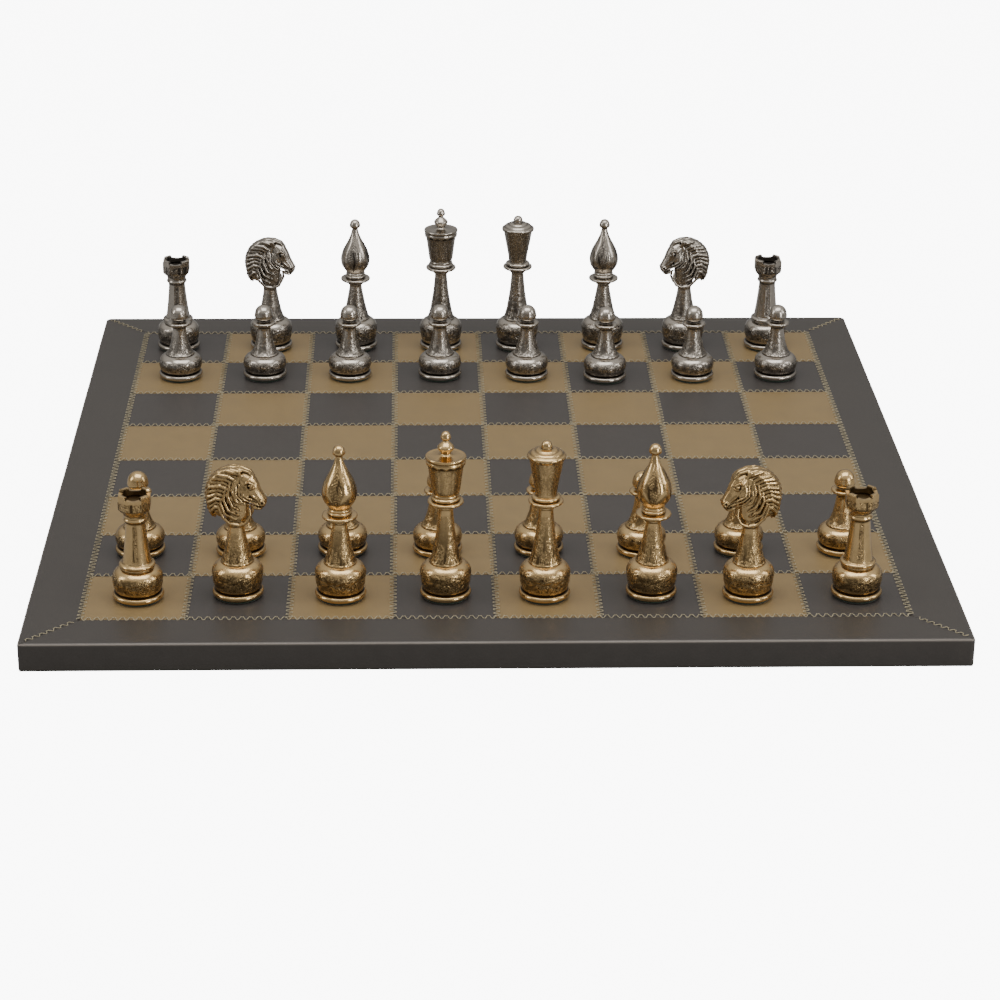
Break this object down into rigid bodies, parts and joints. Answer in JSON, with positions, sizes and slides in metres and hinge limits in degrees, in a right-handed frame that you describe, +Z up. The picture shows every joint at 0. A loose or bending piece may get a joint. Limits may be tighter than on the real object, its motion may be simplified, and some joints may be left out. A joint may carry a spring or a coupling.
{
  "type": "chess set with board",
  "caption": "Chess set with turned metal chessmen in two finishes, on a square leather-covered board with mitred borders and zigzag-stitched seams.",
  "frame": {"origin": "centre of the board's underside, at rest on a table", "axes": "+Z up; +Y from the gold army to the silver army; +X along the ranks from file a to file h"},
  "size_m": [0.4, 0.4, 0.089],
  "materials": {
    "gold_plate": "gold-plated zinc casting, polished with dark patina in the engraving",
    "aged_silver": "nickel-plated zinc casting, antiqued",
    "pad_felt": "dark green felt",
    "tan_leather": "tan grained leatherette, semi-gloss",
    "dark_leather": "dark brown grained leatherette, semi-gloss",
    "border_leather": "dark brown grained leatherette, semi-gloss",
    "thread": "golden-beige zigzag stitching",
    "core_board": "medium-density fibreboard",
    "lining_felt": "black felt"
  },
  "bodies": {
    "board": {"board_core": "core_board", "base_lining": "lining_felt", "border_front": "border_leather", "border_right": "border_leather", "border_back": "border_leather", "border_left": "border_leather", "light_squares": "tan_leather", "dark_squares": "dark_leather", "grid_stitching": "thread", "corner_stitching": "thread"},
    "gold_bishop_c": {"gold_bishop_c": "gold_plate", "gold_bishop_c_felt": "pad_felt"},
    "gold_bishop_f": {"gold_bishop_f": "gold_plate", "gold_bishop_f_felt": "pad_felt"},
    "gold_king_d": {"gold_king_d": "gold_plate", "gold_king_d_felt": "pad_felt"},
    "gold_knight_b": {"gold_knight_b": "gold_plate", "gold_knight_b_felt": "pad_felt"},
    "gold_knight_g": {"gold_knight_g": "gold_plate", "gold_knight_g_felt": "pad_felt"},
    "gold_pawn_a": {"gold_pawn_a": "gold_plate"},
    "gold_pawn_b": {"gold_pawn_b": "gold_plate"},
    "gold_pawn_c": {"gold_pawn_c": "gold_plate"},
    "gold_pawn_d": {"gold_pawn_d": "gold_plate"},
    "gold_pawn_e": {"gold_pawn_e": "gold_plate"},
    "gold_pawn_f": {"gold_pawn_f": "gold_plate"},
    "gold_pawn_g": {"gold_pawn_g": "gold_plate"},
    "gold_pawn_h": {"gold_pawn_h": "gold_plate"},
    "gold_queen_e": {"gold_queen_e": "gold_plate", "gold_queen_e_felt": "pad_felt"},
    "gold_rook_a": {"gold_rook_a": "gold_plate", "gold_rook_a_felt": "pad_felt"},
    "gold_rook_h": {"gold_rook_h": "gold_plate", "gold_rook_h_felt": "pad_felt"},
    "silver_bishop_c": {"silver_bishop_c": "aged_silver", "silver_bishop_c_felt": "pad_felt"},
    "silver_bishop_f": {"silver_bishop_f": "aged_silver", "silver_bishop_f_felt": "pad_felt"},
    "silver_king_d": {"silver_king_d": "aged_silver", "silver_king_d_felt": "pad_felt"},
    "silver_knight_b": {"silver_knight_b": "aged_silver", "silver_knight_b_felt": "pad_felt"},
    "silver_knight_g": {"silver_knight_g": "aged_silver", "silver_knight_g_felt": "pad_felt"},
    "silver_pawn_a": {"silver_pawn_a": "aged_silver"},
    "silver_pawn_b": {"silver_pawn_b": "aged_silver"},
    "silver_pawn_c": {"silver_pawn_c": "aged_silver"},
    "silver_pawn_d": {"silver_pawn_d": "aged_silver"},
    "silver_pawn_e": {"silver_pawn_e": "aged_silver"},
    "silver_pawn_f": {"silver_pawn_f": "aged_silver"},
    "silver_pawn_g": {"silver_pawn_g": "aged_silver"},
    "silver_pawn_h": {"silver_pawn_h": "aged_silver"},
    "silver_queen_e": {"silver_queen_e": "aged_silver", "silver_queen_e_felt": "pad_felt"},
    "silver_rook_a": {"silver_rook_a": "aged_silver", "silver_rook_a_felt": "pad_felt"},
    "silver_rook_h": {"silver_rook_h": "aged_silver", "silver_rook_h_felt": "pad_felt"}
  },
  "joints": [
    {"name": "gold_bishop_c_lift", "type": "slide", "parent": "board", "child": "gold_bishop_c", "axis": [0, 0, 1], "range_m": [0, 0.09]},
    {"name": "gold_bishop_f_lift", "type": "slide", "parent": "board", "child": "gold_bishop_f", "axis": [0, 0, 1], "range_m": [0, 0.09]},
    {"name": "gold_king_d_lift", "type": "slide", "parent": "board", "child": "gold_king_d", "axis": [0, 0, 1], "range_m": [0, 0.09]},
    {"name": "gold_knight_b_lift", "type": "slide", "parent": "board", "child": "gold_knight_b", "axis": [0, 0, 1], "range_m": [0, 0.09]},
    {"name": "gold_knight_g_lift", "type": "slide", "parent": "board", "child": "gold_knight_g", "axis": [0, 0, 1], "range_m": [0, 0.09]},
    {"name": "gold_pawn_a_lift", "type": "slide", "parent": "board", "child": "gold_pawn_a", "axis": [0, 0, 1], "range_m": [0, 0.09]},
    {"name": "gold_pawn_b_lift", "type": "slide", "parent": "board", "child": "gold_pawn_b", "axis": [0, 0, 1], "range_m": [0, 0.09]},
    {"name": "gold_pawn_c_lift", "type": "slide", "parent": "board", "child": "gold_pawn_c", "axis": [0, 0, 1], "range_m": [0, 0.09]},
    {"name": "gold_pawn_d_lift", "type": "slide", "parent": "board", "child": "gold_pawn_d", "axis": [0, 0, 1], "range_m": [0, 0.09]},
    {"name": "gold_pawn_e_lift", "type": "slide", "parent": "board", "child": "gold_pawn_e", "axis": [0, 0, 1], "range_m": [0, 0.09]},
    {"name": "gold_pawn_f_lift", "type": "slide", "parent": "board", "child": "gold_pawn_f", "axis": [0, 0, 1], "range_m": [0, 0.09]},
    {"name": "gold_pawn_g_lift", "type": "slide", "parent": "board", "child": "gold_pawn_g", "axis": [0, 0, 1], "range_m": [0, 0.09]},
    {"name": "gold_pawn_h_lift", "type": "slide", "parent": "board", "child": "gold_pawn_h", "axis": [0, 0, 1], "range_m": [0, 0.09]},
    {"name": "gold_queen_e_lift", "type": "slide", "parent": "board", "child": "gold_queen_e", "axis": [0, 0, 1], "range_m": [0, 0.09]},
    {"name": "gold_rook_a_lift", "type": "slide", "parent": "board", "child": "gold_rook_a", "axis": [0, 0, 1], "range_m": [0, 0.09]},
    {"name": "gold_rook_h_lift", "type": "slide", "parent": "board", "child": "gold_rook_h", "axis": [0, 0, 1], "range_m": [0, 0.09]},
    {"name": "silver_bishop_c_lift", "type": "slide", "parent": "board", "child": "silver_bishop_c", "axis": [0, 0, 1], "range_m": [0, 0.09]},
    {"name": "silver_bishop_f_lift", "type": "slide", "parent": "board", "child": "silver_bishop_f", "axis": [0, 0, 1], "range_m": [0, 0.09]},
    {"name": "silver_king_d_lift", "type": "slide", "parent": "board", "child": "silver_king_d", "axis": [0, 0, 1], "range_m": [0, 0.09]},
    {"name": "silver_knight_b_lift", "type": "slide", "parent": "board", "child": "silver_knight_b", "axis": [0, 0, 1], "range_m": [0, 0.09]},
    {"name": "silver_knight_g_lift", "type": "slide", "parent": "board", "child": "silver_knight_g", "axis": [0, 0, 1], "range_m": [0, 0.09]},
    {"name": "silver_pawn_a_lift", "type": "slide", "parent": "board", "child": "silver_pawn_a", "axis": [0, 0, 1], "range_m": [0, 0.09]},
    {"name": "silver_pawn_b_lift", "type": "slide", "parent": "board", "child": "silver_pawn_b", "axis": [0, 0, 1], "range_m": [0, 0.09]},
    {"name": "silver_pawn_c_lift", "type": "slide", "parent": "board", "child": "silver_pawn_c", "axis": [0, 0, 1], "range_m": [0, 0.09]},
    {"name": "silver_pawn_d_lift", "type": "slide", "parent": "board", "child": "silver_pawn_d", "axis": [0, 0, 1], "range_m": [0, 0.09]},
    {"name": "silver_pawn_e_lift", "type": "slide", "parent": "board", "child": "silver_pawn_e", "axis": [0, 0, 1], "range_m": [0, 0.09]},
    {"name": "silver_pawn_f_lift", "type": "slide", "parent": "board", "child": "silver_pawn_f", "axis": [0, 0, 1], "range_m": [0, 0.09]},
    {"name": "silver_pawn_g_lift", "type": "slide", "parent": "board", "child": "silver_pawn_g", "axis": [0, 0, 1], "range_m": [0, 0.09]},
    {"name": "silver_pawn_h_lift", "type": "slide", "parent": "board", "child": "silver_pawn_h", "axis": [0, 0, 1], "range_m": [0, 0.09]},
    {"name": "silver_queen_e_lift", "type": "slide", "parent": "board", "child": "silver_queen_e", "axis": [0, 0, 1], "range_m": [0, 0.09]},
    {"name": "silver_rook_a_lift", "type": "slide", "parent": "board", "child": "silver_rook_a", "axis": [0, 0, 1], "range_m": [0, 0.09]},
    {"name": "silver_rook_h_lift", "type": "slide", "parent": "board", "child": "silver_rook_h", "axis": [0, 0, 1], "range_m": [0, 0.09]}
  ]
}
